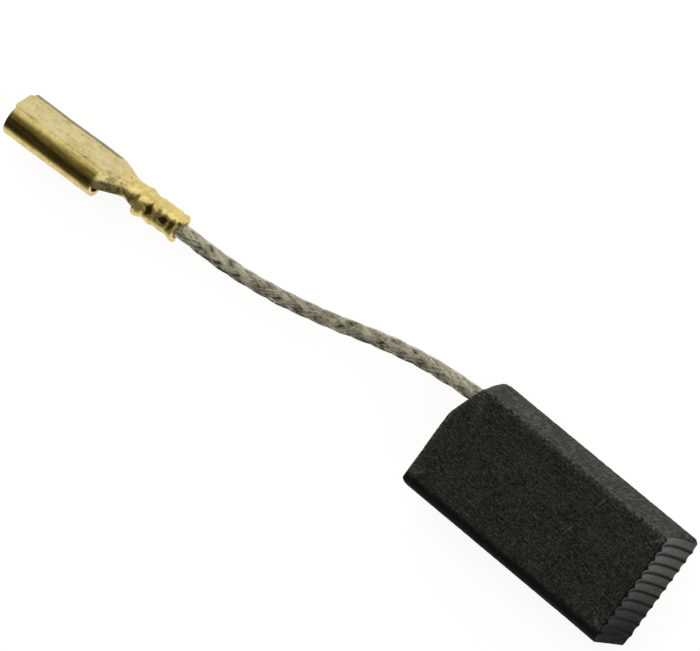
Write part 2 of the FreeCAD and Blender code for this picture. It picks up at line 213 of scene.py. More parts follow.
# Each outward bulge of the crimp: place along the barrel, share of the full height, and width.
BULGES = ((0.2, 1.0, 0.3), (1.25, 0.6, 0.2))
BULGE_HEIGHT = 0.11

# Fixed colours, linear.
SHADE = (0.003, 0.003, 0.0028)
COPPER_GRAIN = (0.28, 0.13, 0.09)
BRAID_GAP_SHADE = (0.045, 0.037, 0.022)
BRAID_OXIDE_AND_SHADE = (0.055, 0.045, 0.018)
CORE_DEEP_SHADE = (0.02, 0.017, 0.012)
CORE_SHADE = (0.08, 0.066, 0.045)
BRASS_RIM = (0.2, 0.17, 0.075)
ROLL_REFLECTION_LIGHT = (0.15, 0.11, 0.02)
ROLL_REFLECTION_DARK = (0.055, 0.037, 0.004)
BRASS_DIRT_AND_SHADE = (0.075, 0.048, 0.009)

# The camera, in metres: place and axes, and its lens and sensor in millimetres.
CAMERA_AT = (0.1065874, 0.0880907, 0.3757337)
CAMERA_RIGHT = (0.732179, 0.568267, -0.375482)
CAMERA_UP = (-0.607782, 0.793934, 0.01641)
CAMERA_BACK = (0.307433, 0.216196, 0.926684)
CAMERA_LENS = 334.83
CAMERA_SENSOR = 36.0
CAMERA_REACH = (0.01, 10.0)

# The stage, in metres: half the table, each lamp's name, place, size and power, and the room's even light.
TABLE_HALF = 3.0
TABLE_WHITE = 1.24
LAMP_TARGET = (-0.018, 0.0, 0.0)
LAMPS = (
    ("key", (-0.12, 0.42, 0.67), 0.78, 1.95),
    ("rim", (-0.28, 0.75, 0.27), 0.6, 0.95),
    ("low", (-0.2, -0.75, 0.15), 0.32, 0.3),
    ("fill", (0.5, 0.1, 0.45), 0.4, 0.6),
)
ROOM_COLOUR = (1.0, 0.94, 0.8)
ROOM_STRENGTH = 0.16


# Numbers and meshes


def smooth(low, high, x):
    """0 below low, 1 above high, 3t^2 - 2t^3 between."""
    t = np.clip((x - low) / (high - low), 0.0, 1.0)
    return t * t * (3 - 2 * t)


def ripple(points, scale, seed, count=14):
    """Smooth noise: a sum of sine waves in seeded directions, of wavelengths round scale, in millimetres.

    n(p) = sum of sin(k.p + a) over count waves, divided by the square root of half of count.
    """
    rng = np.random.default_rng(seed)
    directions = rng.normal(size=(count, 3))
    directions /= np.linalg.norm(directions, axis=1)[:, None]
    waves = directions * (2 * math.pi / (scale * rng.uniform(0.6, 1.7, count)))[:, None]
    angles = points @ waves.T + rng.uniform(0, 2 * math.pi, count)
    return np.sin(angles).sum(-1) / math.sqrt(count / 2)


def new_piece(name, vertices, faces, attributes=None, uv=None, merge=0.0):
    """A smooth-shaded mesh object at the origin from vertices in millimetres and faces by vertex number."""
    mesh = bpy.data.meshes.new(name)
    mesh.from_pydata((np.asarray(vertices) * MM).tolist(), [], faces)
    for key, values in (attributes or {}).items():
        layer = mesh.attributes.new(key, "FLOAT", "POINT")
        layer.data.foreach_set("value", np.asarray(values, np.float32).ravel())
    if uv is not None:
        corners = np.empty(len(mesh.loops), np.int32)
        mesh.loops.foreach_get("vertex_index", corners)
        layer = mesh.uv_layers.new(name="sheet")
        layer.data.foreach_set("uv", np.asarray(uv, np.float32)[corners].ravel())
    if merge:
        work = bmesh.new()
        work.from_mesh(mesh)
        bmesh.ops.remove_doubles(work, verts=work.verts, dist=merge * MM)
        bmesh.ops.dissolve_degenerate(work, edges=work.edges, dist=merge * MM)
        bmesh.ops.recalc_face_normals(work, faces=work.faces)
        work.to_mesh(mesh)
        work.free()
    mesh.shade_smooth()
    mesh.validate()
    piece = bpy.data.objects.new(name, mesh)
    bpy.context.scene.collection.objects.link(piece)
    return piece


def grid_faces(rows, columns, closed=False, start=0):
    """Quads of a grid whose vertices are numbered row by row; closed joins the last column to the first."""
    row = np.arange(rows - 1)[:, None] * columns
    column = np.arange(columns if closed else columns - 1)[None, :]
    following = (column + 1) % columns
    quads = np.stack([row + column, row + following, row + columns + following, row + columns + column], -1)
    return (quads.reshape(-1, 4) + start).tolist()


def tube_faces(rows, columns, start=0):
    """The quads of a closed tube and the two flat caps that shut its ends."""
    faces = grid_faces(rows, columns, True, start)
    faces.append(list(range(start + columns - 1, start - 1, -1)))
    faces.append(list(range(start + (rows - 1) * columns, start + rows * columns)))
    return faces


# Shader arithmetic


class Value:
    """A number socket that adds Math nodes when it takes part in Python arithmetic."""

    def __init__(self, shader, socket):
        self.shader = shader
        self.socket = socket

    def math(self, operation, *others):
        """A Math node of this number and others."""
        return self.shader.node("ShaderNodeMath", {"operation": operation}, dict(enumerate((self, *others))))

    def __add__(self, other):
        return self.math("ADD", other)

    __radd__ = __add__

    def __mul__(self, other):
        return self.math("MULTIPLY", other)

    __rmul__ = __mul__

    def __sub__(self, other):
        return self.math("SUBTRACT", other)

    def __rsub__(self, other):
        return self.shader.node("ShaderNodeMath", {"operation": "SUBTRACT"}, {0: other, 1: self})

    def above(self, low, high):
        """0 below low, 1 above high, with a soft step between."""
        sockets = {"Value": self, "From Min": low, "From Max": high}
        return self.shader.node("ShaderNodeMapRange", {"interpolation_type": "SMOOTHSTEP"}, sockets)


class Shader:
    """The nodes of a material or a world. Every node but the output comes from node()."""

    def __init__(self, owner, output="ShaderNodeOutputMaterial"):
        owner.use_nodes = True
        self.owner = owner
        self.output = output
        self.tree = owner.node_tree
        self.tree.nodes.clear()

    def node(self, kind, settings=None, sockets=None, output=0):
        """A node of a kind: first its settings, then its sockets' values or links. Gives one output."""
        made = self.tree.nodes.new(kind)
        for key, value in (settings or {}).items():
            setattr(made, key, value)
        for key, value in (sockets or {}).items():
            socket = made.inputs[key]
            if isinstance(value, Value):
                self.tree.links.new(value.socket, socket)
            elif socket.type == "RGBA":
                socket.default_value = (*value, 1.0)
            else:
                socket.default_value = value
        return Value(self, made.outputs[output])

    def stretched(self, vector, scale):
        """A pattern's coordinates, scaled along each axis."""
        return self.node("ShaderNodeMapping", {}, {"Vector": vector, "Scale": scale})

    def place(self, scale=(1, 1, 1)):
        """Object coordinates, scaled along each axis."""
        return self.stretched(self.node("ShaderNodeTexCoord", output="Object"), scale)

    def noise(self, vector, scale, detail=3.0, roughness=0.6, distortion=0.0):
        """The height of a noise texture, 0 to 1."""
        sockets = {"Vector": vector, "Scale": scale, "Detail": detail, "Roughness": roughness}
        return self.node("ShaderNodeTexNoise", {}, {**sockets, "Distortion": distortion})

    def attribute(self, name):
        """A number that the mesh holds at each vertex."""
        return self.node("ShaderNodeAttribute", {"attribute_name": name}, {}, "Fac")

    def mix(self, factor, first, second):
        """A colour between two colours."""
        return self.node("ShaderNodeMix", {"data_type": "RGBA"}, {0: factor, 6: first, 7: second}, 2)

    def bump(self, height, strength, distance):
        """A normal from a height."""
        sockets = {"Height": height, "Strength": strength, "Distance": distance}
        return self.node("ShaderNodeBump", {}, sockets)

    def finish(self, **sockets):
        """The Principled surface and the output. Socket names have _ for a space."""
        names = {key.replace("_", " "): value for key, value in sockets.items()}
        return self.show(self.node("ShaderNodeBsdfPrincipled", {}, names))

    def show(self, surface):
        """Links a surface to the output and gives the finished material or world."""
        end = self.tree.nodes.new(self.output)
        self.tree.links.new(surface.socket, end.inputs["Surface"])
        return self.owner


def new_shader(name):
    """An empty material of that name."""
    return Shader(bpy.data.materials.new(name))


# Materials


def scratch_mask(s, at):
    """1 on the broken scratch across the block's top: near its line, where a noise allows."""
    (x0, y0), (x1, y1) = SCRATCH
    length = math.hypot(x1 - x0, y1 - y0)
    across, along = (y1 - y0) / length, (x1 - x0) / length
    x, y, z = (s.node("ShaderNodeSeparateXYZ", {}, {"Vector": at}, axis) for axis in "XYZ")
    offset = (x * across - y * along - (x0 * across - y0 * along) * MM).math("ABSOLUTE")
    broken = s.noise(at, 2100.0, 3.0, 0.8).above(0.47, 0.62)
    return (1 - offset.above(*SCRATCH_SIDES)) * broken * z.above(*SCRATCH_HEIGHT)


def graphite_material(look):
    """Pressed carbon: near-black, with pale specks and fine scratches, dusty edges and a satin fluted end with
    painted sheen, and painted shade where the shade mark lies.
    """
    s = new_shader("graphite")
    at = s.place()
    speck = s.noise(at, 8200.0, 2.0, 0.8).above(0.5, 0.68)
    grit = s.noise(at, 3300.0, 3.0, 0.8).above(0.38, 0.7)
    cloud = s.noise(at, 900.0, 3.0, 0.6).above(0.34, 0.66)
    drawn_lines_and_reflection = s.noise(s.place((170.0, 6400.0, 6400.0)), 1.0, 2.0, 0.6).above(0.55, 0.78)
    comb = s.noise(s.place((5200.0, 5200.0, 1300.0)), 1.0, 3.0, 0.7).above(0.47, 0.57)
    fleck = s.noise(at, 7400.0, 2.0, 0.6).above(0.63, 0.7)
    swept = s.noise(s.place((2500.0, 9000.0, 1100.0)), 1.0, 3.0, 0.7).above(0.4, 0.62)
    wear = s.attribute("wear") * s.noise(at, 5200.0, 3.0, 0.7).above(0.4, 0.66)
    dust = s.attribute("dust")
    satin_and_sheen = s.attribute("satin_and_sheen")
    streak = s.noise(s.place((3000.0, 7600.0, 7600.0)), 1.0, 3.0, 0.8).above(0.47, 0.65)
    pale = speck * 0.38 + grit * 0.11 + streak * 0.28 + cloud * 0.07 + drawn_lines_and_reflection * 0.16 + wear * 0.9 + fleck * 0.4
    pale += scratch_mask(s, at) * 0.46
    pale = pale * (1 - dust * 0.4) + dust * (comb * 0.9 + streak * 0.2) * (0.4 + cloud * 0.75)
    # The flutes are partly real satin (the coat) and partly painted sheen, given as a lighter colour.
    pale = (pale * (1 - satin_and_sheen * 0.7) + satin_and_sheen * (0.52 + grit * 0.24 + swept * 0.36)).math("MINIMUM", 1.0)
    colour = s.mix(pale, tuple(look.graphite), tuple(look.graphite_light))
    tint = s.attribute("tint") * s.noise(at, 2600.0, 2.0, 0.5).above(0.38, 0.6)
    colour = s.mix(tint * 0.7, colour, tuple(look.powder_tint))
    # Painted shade, from the block's shade mark.
    colour = s.mix(s.attribute("shade"), colour, SHADE)
    height = (speck * 0.5 + grit * 0.7 + drawn_lines_and_reflection * 0.4 + comb * dust * 0.6) * (1 - satin_and_sheen * 0.85)
    rough = 0.66 + grit * 0.12 - drawn_lines_and_reflection * 0.1 - satin_and_sheen * 0.2
    return s.finish(Base_Color=colour, Roughness=rough, Normal=s.bump(height, 0.7, 0.00003), IOR=1.45,
                    Specular_IOR_Level=0.12, Coat_Weight=satin_and_sheen * 0.35, Coat_Roughness=0.35)


def powder_material(look):
    """Tamped powder: dark, with coppery and pale grains."""
    s = new_shader("tamped_powder")
    at = s.place()
    grain = s.noise(at, 8000.0, 3.0, 0.7).above(0.4, 0.68)
    copper = s.noise(at, 5200.0, 2.0, 0.6).above(0.58, 0.7)
    colour = s.mix(grain, tuple(look.powder), tuple(look.graphite_light))
    colour = s.mix(copper * 0.8, colour, COPPER_GRAIN)
    normal = s.bump(grain, 0.8, 0.00006)
    return s.finish(Base_Color=colour, Roughness=0.7, Normal=normal, Metallic=copper * 0.5)


def braid_material(look):
    """Tinned copper wire: warm pale metal, each wire a little different, dark where oxidised, with painted
    shade in the gaps and on the side facing -Y.
    """
    s = new_shader("tinned_braid")
    at = s.place()
    strand = s.attribute("strand")
    dull = s.noise(at, 800.0, 4.0, 0.7).above(0.44, 0.62)
    fleck = s.noise(at, 3800.0, 3.0, 0.7).above(0.5, 0.66)
    worn = (strand * strand * 0.6 + dull * 0.4 + fleck * 0.5).math("MINIMUM", 1.0)
    colour = s.mix(worn, tuple(look.braid), tuple(look.braid_dull))
    # Painted shade in the gaps: darker where a wire lies deep, unevenly.
    uneven = s.noise(at, 620.0, 3.0, 0.7).above(0.38, 0.62)
    gap_shade = s.attribute("depth").math("POWER", 1.6) * (0.6 + uneven * 0.85)
    colour = s.mix(gap_shade.math("MINIMUM", 1.0), colour, BRAID_GAP_SHADE)
    # Dark blotches: real oxide, much stronger on the side facing -Y, where they are painted shade.
    blotch = s.noise(at, 1500.0, 4.0, 0.8, 0.4).above(0.46, 0.57)
    colour = s.mix((s.attribute("under") * 0.85 + 0.1) * blotch, colour, BRAID_OXIDE_AND_SHADE)
    rough = 0.36 + dull * 0.16 + strand * 0.1
    return s.finish(Base_Color=colour, Roughness=rough, Metallic=0.6)


def core_shade_material():
    """A dark tube inside the braid: painted shade that shows through the gaps between the wires."""
    s = new_shader("braid_core_shade")
    grain = s.noise(s.place(), 6000.0, 2.0, 0.6)
    colour = s.mix(grain, CORE_DEEP_SHADE, CORE_SHADE)
    return s.finish(Base_Color=colour, Roughness=0.7, Metallic=0.4)


def brass_material(look):
    """Rolled sheet brass: fine lines along the sheet, creases, stains and dirt spots, painted shade in the
    crimp's dents, and painted dark reflection on the rolls and the neck.
    """
    s = new_shader("sheet_brass")
    sheet = s.node("ShaderNodeUVMap", {"uv_map": "sheet"})
    lines = s.noise(s.stretched(sheet, (5.0, 180.0, 1.0)), 1.0, 4.0, 0.6)
    at = s.place()
    stain = s.noise(at, 900.0, 4.0, 0.7, 0.4).above(0.44, 0.66)
    mottle = s.noise(at, 2600.0, 3.0, 0.7).above(0.42, 0.62)
    spot = s.noise(at, 3400.0, 2.0, 0.5).above(0.67, 0.73)
    dent_shade = s.attribute("dent_shade")
    roll_reflection = s.attribute("roll_reflection")
    worked = s.attribute("worked")
    colour = s.mix(worked, tuple(look.brass), tuple(look.brass_worked))
    colour = s.mix(stain * 0.4 + mottle * 0.3, colour, tuple(look.brass_stain))
    colour = s.mix(s.attribute("rim") * 0.75, colour, BRASS_RIM)
    # Painted dark reflection on the side rolls, streaked along the sheet, where the curved brass faces the
    # dark side of the room.
    broad = s.noise(s.stretched(sheet, (2.5, 48.0, 1.0)), 1.0, 3.0, 0.6)
    drawn_lines_and_reflection = s.mix(broad.above(0.4, 0.62), ROLL_REFLECTION_LIGHT, ROLL_REFLECTION_DARK)
    colour = s.mix(roll_reflection * 0.94, colour, drawn_lines_and_reflection)
    # Painted dark reflection in patches on one side of the neck.
    neck_reflection = s.attribute("neck") * s.noise(at, 1500.0, 3.0, 0.6, 0.6).above(0.46, 0.6)
    crease = s.attribute("crease") * s.noise(at, 1500.0, 2.0, 0.5).above(0.3, 0.6)
    # Real dirt spots, painted shade in the crimp's dents, the rolls darker along two creases, and painted dark
    # reflection in patches on the neck.
    dirt_and_shade = spot * 0.6 + dent_shade + crease * 0.6 + neck_reflection * 0.62
    colour = s.mix(dirt_and_shade.math("MINIMUM", 1.0), colour, BRASS_DIRT_AND_SHADE)
    rough = 0.2 + stain * 0.1 + mottle * 0.06 + lines.above(0.35, 0.7) * 0.08 + dent_shade * 0.25 + worked * 0.1
    height = lines * 0.5 + s.noise(at, 2000.0, 3.0, 0.6) * 0.7
    return s.finish(Base_Color=colour, Roughness=rough, Metallic=1.0, Normal=s.bump(height, 0.2, 0.00002))


def floor_material(look):
    """White table: to the camera and in reflections mostly its own white, so only a soft shadow is left."""
    s = new_shader("white_table")
    rays = ("Is Camera Ray", "Is Glossy Ray", "Is Transmission Ray")
    camera, glossy, through_glass = (s.node("ShaderNodeLightPath", output=name) for name in rays)
    seen = camera.math("MAXIMUM", glossy).math("MAXIMUM", through_glass)
    paper = s.node("ShaderNodeBsdfDiffuse", {}, {"Color": tuple(look.table)})
    glow = s.node("ShaderNodeEmission", {}, {"Color": WHITE, "Strength": TABLE_WHITE})
    return s.show(s.node("ShaderNodeMixShader", {}, {0: seen * look.table_glow, 1: paper, 2: glow}))


def room_light():
    """An even warm light that the camera sees as plain white."""
    s = Shader(bpy.data.worlds.new("studio"), "ShaderNodeOutputWorld")
    camera = s.node("ShaderNodeLightPath", output="Is Camera Ray")
    room = s.node("ShaderNodeBackground", {}, {"Color": ROOM_COLOUR, "Strength": ROOM_STRENGTH})
    white = s.node("ShaderNodeBackground", {}, {"Color": WHITE})
    return s.show(s.node("ShaderNodeMixShader", {}, {0: camera, 1: room, 2: white}))


# Sizes and colours for the user


def colour(name, description, default):
    """A linear colour that the user can change."""
    return FloatVectorProperty(name=name, description=description, subtype="COLOR", size=3, min=0, max=1,
                               default=default)


def millimetres(name, description, default, low, high):
    """A size in millimetres that the user can change."""
    description += ", in millimetres"
    return FloatProperty(name=name, description=description, default=default, min=low, max=high)


class BrushShape(bpy.types.PropertyGroup):
    """Sizes of the visible forms."""

    edge_radius: millimetres("Edge radius", "Softened edge of the block", 0.09, 0.02, 0.3)
    edge_chip: millimetres("Edge chipping", "Depth of the chips along the edges", 0.022, 0, 0.1)
    flute_depth: millimetres("Flute depth", "Depth of the flutes at the top", 0.17, 0.01, 0.3)
    carriers: IntProperty(name="Bundles", description="Wire bundles that run round each way", default=6,
                          min=2, max=12)
    wires: IntProperty(name="Wires", description="Wires in a bundle", default=8, min=1, max=12)
    pitch: millimetres("Braid pitch", "Length of a bundle's full turn", 9.2, 2, 20)
    wire_diameter: millimetres("Wire diameter", "One fine wire", 0.066, 0.02, 0.2)
    pit_depth: millimetres("Crimp dents", "Depth of the dents in the crimp", 0.13, 0, 0.15)


class BrushLook(bpy.types.PropertyGroup):
    """Colours, linear."""

    graphite: colour("Graphite", "Dark of the pressed carbon", (0.0045, 0.0047, 0.0036))
    graphite_light: colour("Graphite light", "Specks, dust and worn edges", (0.158, 0.159, 0.138))
    powder: colour("Powder", "Tamped powder at the foot of the lead", (0.035, 0.028, 0.03))
    powder_tint: colour("Powder tint", "Stain of powder on the block", (0.06, 0.05, 0.072))
    braid: colour("Braid", "Bright tinned wire", (0.94, 0.9, 0.73))
    braid_dull: colour("Braid dull", "Oxidised wire", (0.25, 0.222, 0.13))
    brass: colour("Brass", "Clean sheet brass", (0.7, 0.6, 0.31))
    brass_worked: colour("Brass worked", "Brass of the bends, the neck and the crimp", (0.8, 0.64, 0.24))
    brass_stain: colour("Brass stain", "Tarnished sheet brass", (0.5, 0.4, 0.14))
    table: colour("Table", "Diffuse colour of the table", (0.9, 0.9, 0.9))
    table_glow: FloatProperty(name="Table glow", description="Share of its own white that the table shows",
                              subtype="FACTOR", default=0.72, min=0, max=1)


# The block


def outline_ring(inset_e, inset_n, inset_w, inset_s):
    """A rounded rectangle, anticlockwise from the contact end's -Y corner, with its own inset on each side.

    Returns x, y, and how much each point belongs to the -Y side, to the contact end and to an upright corner.
    """
    x0, x1 = -BLOCK_LENGTH / 2 + inset_w, BLOCK_LENGTH / 2 - inset_e
    y0, y1 = -BLOCK_WIDTH / 2 + inset_s, BLOCK_WIDTH / 2 - inset_n
    shrink = max(inset_e, inset_n) * CORNER_SHRINK
    r = max(min(CORNER_RADIUS, (x1 - x0) / 2, (y1 - y0) / 2) - shrink, 0.0)
    soft = r + LEAD_CORNER_RADIUS - CORNER_RADIUS if r > 0 else 0.0
    n = OUTLINE_COUNTS
    stretches = []

    def run(count, ax, ay, bx, by, share, end=0.0):
        """A straight stretch from a to b."""
        t = np.arange(count) / count
        stretches.append((ax + (bx - ax) * t, ay + (by - ay) * t, 0 * t + share, 0 * t + end, 0 * t))

    def turn(count, cx, cy, start, low, high, size=r):
        """A quarter of a circle round c, on which the share of the -Y side goes from low to high."""
        t = np.arange(count) / count
        a = start + t * math.pi / 2
        end = 1 - t if start == 0.0 else t if start < 0 else 0 * t
        share = low + (high - low) * t
        corner = np.sin(math.pi * t) ** 0.5
        stretches.append((cx + size * np.cos(a), cy + size * np.sin(a), share, end, corner))

    run(n[0], x1, y0 + r, x1, y1 - r, 0.0, 1.0)
    turn(n[1], x1 - r, y1 - r, 0.0, 0.0, 0.0)
    run(n[2], x1 - r, y1, x0 + soft, y1, 0.0)
    turn(n[3], x0 + soft, y1 - soft, math.pi / 2, 0.0, 0.0, soft)
    run(n[4], x0, y1 - soft, x0, y0 + r, 0.0)
    turn(n[5], x0 + r, y0 + r, math.pi, 0.0, 1.0)
    run(n[6], x0 + r, y0, x1 - r, y0, 1.0)
    turn(n[7], x1 - r, y0 + r, -math.pi / 2, 1.0, 0.0)
    return [np.concatenate(part) for part in zip(*stretches)]


def bevel_plane(y, z):
    """Where the lead end's slanted bevel is along the block: x = -L/2 + b run / (W/2 - start).

    b is y - y0(z) where that is positive and 0 elsewhere, with a soft change between the two.
    """
    start = BEVEL_START + (BLOCK_THICKNESS - z) * (BEVEL_FOOT - BEVEL_START) / BLOCK_THICKNESS
    beyond = y - start
    beyond = 0.5 * (beyond + np.sqrt(beyond**2 + BEVEL_SOFTNESS**2))
    return -BLOCK_LENGTH / 2 + beyond * BEVEL_RUN / (BLOCK_WIDTH / 2 - BEVEL_START)


def hollow_end(y, z):
    """How far the hollowed contact end is beyond the block's plain end.

    h = top + (foot - top) (1 - z/T) - s(y) (sqrt(R^2 - (z - T/2)^2) - sqrt(R^2 - T^2/4)), where s is 1 across
    the flutes and falls to 0 on the narrow plain land at the -Y edge.
    """
    half = BLOCK_THICKNESS / 2
    sag = np.sqrt(HOLLOW_RADIUS**2 - (z - half) ** 2) - math.sqrt(HOLLOW_RADIUS**2 - half**2)
    lip = TOP_LIP + (FOOT_LIP - TOP_LIP) * (1 - z / BLOCK_THICKNESS)
    return lip - sag * smooth(-BLOCK_WIDTH / 2, PLAIN_LAND_END, y)


def flute_place(y):
    """Where a place across the contact end is in its flute, from -1 to 1, and whether it is in one."""
    pitch = (BLOCK_WIDTH - 2 * FLUTE_LAND) / (FLUTES - 1)
    first = -BLOCK_WIDTH / 2 + FLUTE_LAND
    across = np.mod(y - first + pitch / 2, pitch) - pitch / 2
    return across / (pitch / 2), (y > first - pitch / 2) & (y < -first + pitch / 2)


def flute_cut(y, depth):
    """Depth of the flutes: arcs of one radius, side by side, with a narrow ridge between two."""
    pitch = (BLOCK_WIDTH - 2 * FLUTE_LAND) / (FLUTES - 1)
    half_chord = (pitch - FLUTE_RIDGE) / 2
    radius = (half_chord**2 + depth**2) / (2 * depth)
    across, inside = flute_place(y)
    cut = np.sqrt(np.maximum(radius**2 - (across * pitch / 2) ** 2, 0.0)) - (radius - depth)
    return np.where(inside, np.maximum(cut, 0.0), 0.0)


def block_rings(edge):
    """The rings of the block from the middle of the bottom to the middle of the top.

    Each is (insets of the four sides, level, share, wear). The height is the level plus a share of the
    upright side. In the top's rings the share is None and the level is the angle of the edge's rounding.
    """
    half = BLOCK_WIDTH / 2
    rings = []
    for k in BOTTOM_SHARES:
        d = edge + k * (half - edge)
        rings.append(((d, d, d, d), 0.0, 0.0, smooth(0.5, 0.0, k * half)))
    for angle in np.linspace(90, 0, BOTTOM_EDGE_RINGS):
        a = math.radians(angle)
        d = edge * (1 - math.cos(a))
        rings.append(((d, d, d, d), edge * (1 - math.sin(a)), 0.0, 1.0))
    for t in SIDE_SHARES:
        rings.append(((0.0,) * 4, edge, t, smooth(0.93, 1.0, t) + smooth(0.07, 0.0, t)))
    for angle in np.linspace(0, 90, TOP_EDGE_RINGS):
        a = math.radians(angle)
        d, big, end = (size * (1 - math.cos(a)) for size in (edge, LONG_EDGE_RADIUS, END_EDGE_RADIUS))
        rings.append(((end, d, d, big), angle, None, 1.0))
    for k in TOP_SHARES:
        d = edge + k * (half - edge)
        big, end = (size + k * (half - size) for size in (LONG_EDGE_RADIUS, END_EDGE_RADIUS))
        rings.append(((end, d, d, big), 90.0, None, smooth(0.4, 0.0, d)))
    return rings


def block_surface(shape):
    """The block as rings of one outline, shaped at the contact end, squeezed to the bevel, and chipped.

    Each side's height follows its own edge radius. x gains the hollow's h minus the flutes' depth, both
    fading along the block, and chips pull worn places inwards by max(0, noise - least). Also returns the
    wear and each point's distance from the plain end.
    """
    edge = shape.edge_radius
    rows, wear_rows = [], []
    for insets, level, share, wear in block_rings(edge):
        x, y, south, east, corner = outline_ring(*insets)
        edge_here = edge + (LONG_EDGE_RADIUS - edge) * smooth(0.0, 1.0, south)
        edge_here += np.maximum(END_EDGE_RADIUS - edge, 0) * smooth(0.0, 1.0, east) * (1 - south)
        top = BLOCK_THICKNESS - edge_here
        if share is None:
            z = top + edge_here * math.sin(math.radians(level))
        else:
            z = level + share * (top - edge)
        rows.append(np.stack([x, y, z], -1))
        wear_rows.append(np.maximum(wear * (1 - 0.6 * south) * (1 - east), corner * 0.7))
    points = np.array(rows)
    wear = np.array(wear_rows)
    x, y, z = points[..., 0].copy(), points[..., 1], points[..., 2]
    plain = BLOCK_LENGTH / 2 - x
    upper = z / BLOCK_THICKNESS
    depth = shape.flute_depth * (FLUTE_FOOT_SHARE + (1 - FLUTE_FOOT_SHARE) * upper)
    x += hollow_end(y, z) * (1 - smooth(0.0, HOLLOW_REACH, plain))
    x -= flute_cut(y, depth) * (1 - smooth(0.0, FLUTE_REACH, plain))
    plane = bevel_plane(y, z)
    pivot = -BLOCK_LENGTH / 2 + BEVEL_REACH
    squeezed = plane + (x + BLOCK_LENGTH / 2) * (pivot - plane) / BEVEL_REACH
    x = np.where(x < pivot, squeezed, x)
    flare = smooth(FLARE_REACH, 0.0, plain) * (1 - upper) * smooth(FLARE_FROM_Y, -BLOCK_WIDTH / 2, y)
    points = np.stack([x, y - CORNER_FLARE * flare, z], -1)
    inward = np.array([0.0, 0.0, BLOCK_THICKNESS / 2]) - points
    inward /= np.linalg.norm(inward, axis=-1, keepdims=True)
    chips = 0.0
    for share, size, seed, least in CHIPS:
        chips = chips + share * np.maximum(ripple(points, size, seed) - least, 0.0)
    points += inward * (chips * wear * shape.edge_chip)[..., None]
    return points, wear, plain


def block_marks(points, wear, plain):
    """Where the block is worn, tinted by powder, dusty, satin with painted sheen, or dark with painted shade,
    each from 0 to 1 at each point.
    """
    x, y, z = np.moveaxis(points, -1, 0)
    tint = np.exp(-(((points - TINT_AT) / TINT_REACH) ** 2).sum(-1))
    # Dust lies on the +Y side below a wavy line, thinner towards the table, and along the -Y edge of the top.
    line = DUST_LINE - DUST_FALL * smooth(BLOCK_LENGTH / 2, -BLOCK_LENGTH / 2, x)
    line -= DUST_WAVE * ripple(points * (1, 0, 0), 3.0, seed=12)
    dust = smooth(3.8, 3.97, y) * smooth(line, line - 0.3, z) * smooth(0.0, 0.2, plain)
    dust *= 0.5 + 0.5 * smooth(0.5, 4.4, z)
    dust += 0.7 * np.exp(-(((y + 3.3) / 0.13) ** 2)) * smooth(4.8, 4.9, z)
    # The contact end is satin in its flutes, with painted sheen that fades towards -Y. It is dark on the
    # ridges, and painted shade makes it darker towards -Y.
    across, inside = flute_place(y)
    end = smooth(0.05, 0.02, plain)
    satin_and_sheen = end * smooth(1.0, 0.4, np.abs(across)) * inside * smooth(-4.5, 2.5, y)
    ridges = 0.75 * end * smooth(0.6, 0.95, np.abs(across)) * inside
    darker = 0.4 * end * smooth(1.5, -3.5, y)
    # Painted shade in the seam behind the top lip, and on the rounded -Y long edge, which faces away from the
    # lamps.
    lip = 0.8 * smooth(7.7, 7.83, x) * smooth(4.75, 4.85, z) * smooth(3.9, 3.6, y)
    long_edge = 0.95 * smooth(-2.88, -3.32, y) * smooth(0.0, 0.1, plain)
    shade = np.maximum.reduce([ridges, darker, lip, long_edge])
    return {"wear": wear, "tint": tint, "dust": dust, "satin_and_sheen": satin_and_sheen, "shade": shade}


# The lead


def route_points():
    """The lead's smooth line: an open spline of order 3 on the control points, read back as points."""
    curve = bpy.data.curves.new("lead_route", "CURVE")
    curve.dimensions = "3D"
    curve.resolution_u = 64
    spline = curve.splines.new("NURBS")
    spline.points.add(len(LEAD_POINTS) - 1)
    for point, place in zip(spline.points, LEAD_POINTS):
        point.co = (*(v * MM for v in place), 1.0)
    spline.order_u = 3
    spline.use_endpoint_u = True
    holder = bpy.data.objects.new("lead_route", curve)
    line = bpy.data.meshes.new_from_object(holder)
    points = np.empty(len(line.vertices) * 3, np.float64)
    line.vertices.foreach_get("co", points)
    bpy.data.meshes.remove(line)
    bpy.data.objects.remove(holder)
    bpy.data.curves.remove(curve)
    return points.reshape(-1, 3)


def even_stations(points, step):
    """The same line at even steps, with its unit tangent, a side normal and an upper normal at each."""
    gaps = np.linalg.norm(np.diff(points, axis=0), axis=1)
    along = np.concatenate([[0.0], np.cumsum(gaps)])
    count = int(round(along[-1] / step)) + 1
    s = np.linspace(0, along[-1], count)
    line = np.stack([np.interp(s, along, points[:, k]) for k in range(3)], -1)
    tangent = np.gradient(line, axis=0)
    tangent /= np.linalg.norm(tangent, axis=1)[:, None]
    side = np.cross((0.0, 0.0, 1.0), tangent)
    side /= np.linalg.norm(side, axis=1)[:, None]
    return s, line, tangent, side, np.cross(tangent, side)


